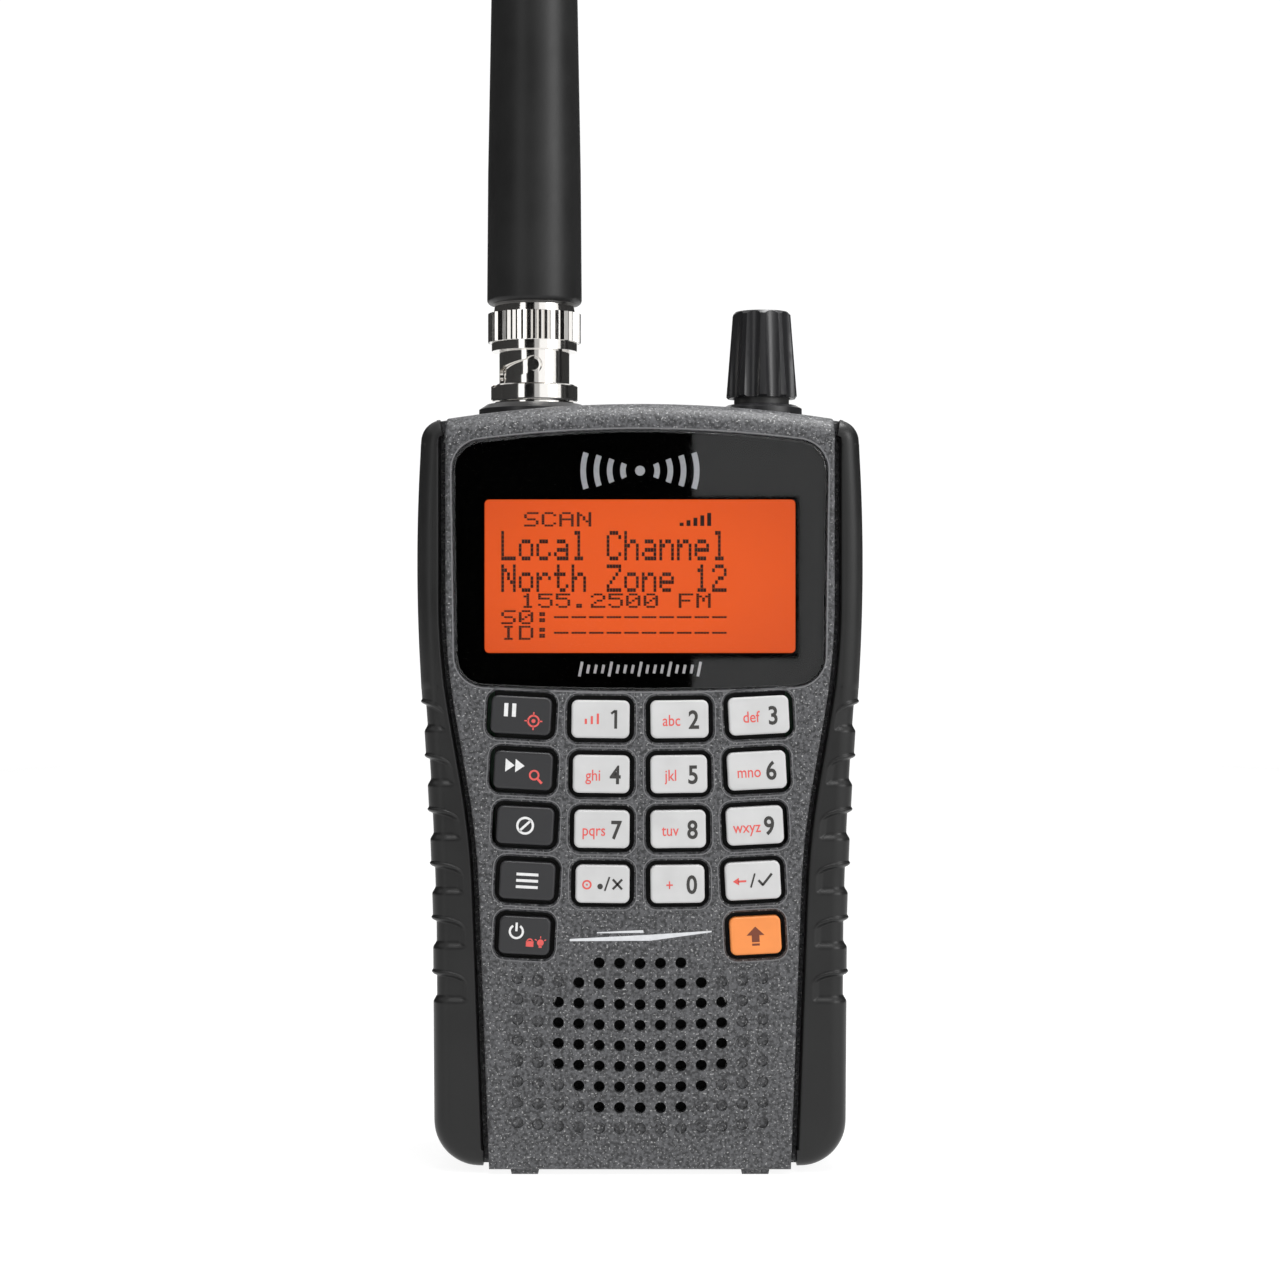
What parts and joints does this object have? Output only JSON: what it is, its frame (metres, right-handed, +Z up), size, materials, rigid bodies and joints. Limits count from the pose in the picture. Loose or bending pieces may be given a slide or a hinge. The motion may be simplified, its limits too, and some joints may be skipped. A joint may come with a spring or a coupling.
{
  "type": "handheld scanner receiver",
  "caption": "Handheld radio scanner: waisted case with rubber side grips, display, keypad, speaker grille, rotary knob and a whip antenna on a bayonet socket.",
  "frame": {"origin": "under the middle of the case, on the plane of its feet", "axes": "+Z up along the antenna, -Y out of the display, +X to the right of someone reading it"},
  "size_m": [0.0678, 0.032, 0.2824],
  "materials": {
    "case_plastic": "fine spark texture",
    "grip_rubber": "satin",
    "lens": "gloss",
    "mask": "printed black",
    "lcd": "backlit",
    "light_guide": "clear",
    "mat_rubber": "matte",
    "spring_steel": "bright",
    "circuit_board": "solder mask",
    "tinned_steel": "satin",
    "connector_plastic": "moulded",
    "speaker_cloth": "woven",
    "cone_paper": "matte",
    "brass": "machined",
    "cell_label": "shrink sleeve",
    "ring_plastic": "satin",
    "nickel": "bright nickel plate",
    "insulator": "waxy",
    "core_plastic": "moulded",
    "antenna_rubber": "satin",
    "knob_plastic": "semi-gloss",
    "key_dark": "satin",
    "key_light": "satin",
    "key_function": "satin"
  },
  "bodies": {
    "case": {"front_case": "case_plastic", "rear_case": "case_plastic", "side_grip_left": "grip_rubber", "side_grip_right": "grip_rubber", "display_lens": "lens", "lens_mask": "mask", "lcd_panel": "lcd", "lcd_light_guide": "light_guide", "keypad_mat": "mat_rubber", "dome_switches": "spring_steel", "front_board": "circuit_board", "main_board": "circuit_board", "rf_shields": "tinned_steel", "board_connector": "connector_plastic", "speaker_cloth": "speaker_cloth", "speaker_frame": "tinned_steel", "speaker_magnet": "tinned_steel", "case_screws": "spring_steel", "belt_clip_inserts": "brass", "battery_cells": "cell_label", "battery_contacts": "spring_steel", "battery_springs": "spring_steel", "antenna_base_ring": "ring_plastic", "bnc_jack": "nickel", "bnc_nut": "nickel", "bnc_insulator": "insulator", "bnc_socket_contact": "brass", "knob_base_ring": "ring_plastic", "encoder_body": "connector_plastic", "phone_jack": "connector_plastic", "usb_socket": "tinned_steel"},
    "antenna": {"antenna_plug": "nickel", "plug_pin": "brass", "antenna_core": "core_plastic", "antenna_sheath": "antenna_rubber"},
    "collar_lift": {"collar_spring": "spring_steel"},
    "collar": {"bnc_collar": "nickel"},
    "encoder_rotor": {"encoder_rotor": "connector_plastic"},
    "knob": {"encoder_shaft": "spring_steel", "control_knob": "knob_plastic"},
    "battery_door": {"battery_door": "case_plastic"},
    "speaker_cone": {"speaker_cone": "cone_paper"},
    "key_hold": {"key_hold": "key_dark"},
    "key_1": {"key_1": "key_light"},
    "key_2": {"key_2": "key_light"},
    "key_3": {"key_3": "key_light"},
    "key_scan": {"key_scan": "key_dark"},
    "key_4": {"key_4": "key_light"},
    "key_5": {"key_5": "key_light"},
    "key_6": {"key_6": "key_light"},
    "key_lockout": {"key_lockout": "key_dark"},
    "key_7": {"key_7": "key_light"},
    "key_8": {"key_8": "key_light"},
    "key_9": {"key_9": "key_light"},
    "key_menu": {"key_menu": "key_dark"},
    "key_dot": {"key_dot": "key_light"},
    "key_0": {"key_0": "key_light"},
    "key_enter": {"key_enter": "key_light"},
    "key_power": {"key_power": "key_dark"},
    "key_function": {"key_function": "key_function"}
  },
  "joints": [
    {"name": "key_hold_press", "type": "slide", "parent": "case", "child": "key_hold", "axis": [0, 1, 0], "range_m": [0, 0.0007], "stiffness_N_per_m": 1500},
    {"name": "key_1_press", "type": "slide", "parent": "case", "child": "key_1", "axis": [0, 1, 0], "range_m": [0, 0.0007], "stiffness_N_per_m": 1500},
    {"name": "key_2_press", "type": "slide", "parent": "case", "child": "key_2", "axis": [0, 1, 0], "range_m": [0, 0.0007], "stiffness_N_per_m": 1500},
    {"name": "key_3_press", "type": "slide", "parent": "case", "child": "key_3", "axis": [0, 1, 0], "range_m": [0, 0.0007], "stiffness_N_per_m": 1500},
    {"name": "key_scan_press", "type": "slide", "parent": "case", "child": "key_scan", "axis": [0, 1, 0], "range_m": [0, 0.0007], "stiffness_N_per_m": 1500},
    {"name": "key_4_press", "type": "slide", "parent": "case", "child": "key_4", "axis": [0, 1, 0], "range_m": [0, 0.0007], "stiffness_N_per_m": 1500},
    {"name": "key_5_press", "type": "slide", "parent": "case", "child": "key_5", "axis": [0, 1, 0], "range_m": [0, 0.0007], "stiffness_N_per_m": 1500},
    {"name": "key_6_press", "type": "slide", "parent": "case", "child": "key_6", "axis": [0, 1, 0], "range_m": [0, 0.0007], "stiffness_N_per_m": 1500},
    {"name": "key_lockout_press", "type": "slide", "parent": "case", "child": "key_lockout", "axis": [0, 1, 0], "range_m": [0, 0.0007], "stiffness_N_per_m": 1500},
    {"name": "key_7_press", "type": "slide", "parent": "case", "child": "key_7", "axis": [0, 1, 0], "range_m": [0, 0.0007], "stiffness_N_per_m": 1500},
    {"name": "key_8_press", "type": "slide", "parent": "case", "child": "key_8", "axis": [0, 1, 0], "range_m": [0, 0.0007], "stiffness_N_per_m": 1500},
    {"name": "key_9_press", "type": "slide", "parent": "case", "child": "key_9", "axis": [0, 1, 0], "range_m": [0, 0.0007], "stiffness_N_per_m": 1500},
    {"name": "key_menu_press", "type": "slide", "parent": "case", "child": "key_menu", "axis": [0, 1, 0], "range_m": [0, 0.0007], "stiffness_N_per_m": 1500},
    {"name": "key_dot_press", "type": "slide", "parent": "case", "child": "key_dot", "axis": [0, 1, 0], "range_m": [0, 0.0007], "stiffness_N_per_m": 1500},
    {"name": "key_0_press", "type": "slide", "parent": "case", "child": "key_0", "axis": [0, 1, 0], "range_m": [0, 0.0007], "stiffness_N_per_m": 1500},
    {"name": "key_enter_press", "type": "slide", "parent": "case", "child": "key_enter", "axis": [0, 1, 0], "range_m": [0, 0.0007], "stiffness_N_per_m": 1500},
    {"name": "key_power_press", "type": "slide", "parent": "case", "child": "key_power", "axis": [0, 1, 0], "range_m": [0, 0.0007], "stiffness_N_per_m": 1500},
    {"name": "key_function_press", "type": "slide", "parent": "case", "child": "key_function", "axis": [0, 1, 0], "range_m": [0, 0.0007], "stiffness_N_per_m": 1500},
    {"name": "antenna_swivel", "type": "hinge", "parent": "case", "child": "antenna", "pos_m": [-0.0165, 0, 0.13], "axis": [0, 0, 1], "continuous": true},
    {"name": "collar_turn", "type": "hinge", "parent": "collar_lift", "child": "collar", "pos_m": [-0.0165, 0, 0.124], "axis": [0, 0, 1], "range_deg": [0, 65]},
    {"name": "collar_rise", "type": "slide", "parent": "case", "child": "collar_lift", "axis": [0, 0, 1], "range_m": [0, 0.0014]},
    {"name": "knob_turn", "type": "hinge", "parent": "case", "child": "encoder_rotor", "pos_m": [0.019, 0, 0.107], "axis": [0, 0, 1], "continuous": true},
    {"name": "knob_press", "type": "slide", "parent": "encoder_rotor", "child": "knob", "axis": [0, 0, -1], "range_m": [0, 0.0005], "stiffness_N_per_m": 2000},
    {"name": "battery_door_swing", "type": "hinge", "parent": "case", "child": "battery_door", "pos_m": [0, 0.0159, 0.0087], "axis": [-1, 0, 0], "range_deg": [0, 90]},
    {"name": "speaker_cone_throw", "type": "slide", "parent": "case", "child": "speaker_cone", "axis": [0, 1, 0], "range_m": [-0.0003, 0.0003], "stiffness_N_per_m": 600}
  ],
  "couplings": [
    {"joint": "collar_rise", "follows": "collar_turn", "m_per_rad": 0.0012341}
  ]
}
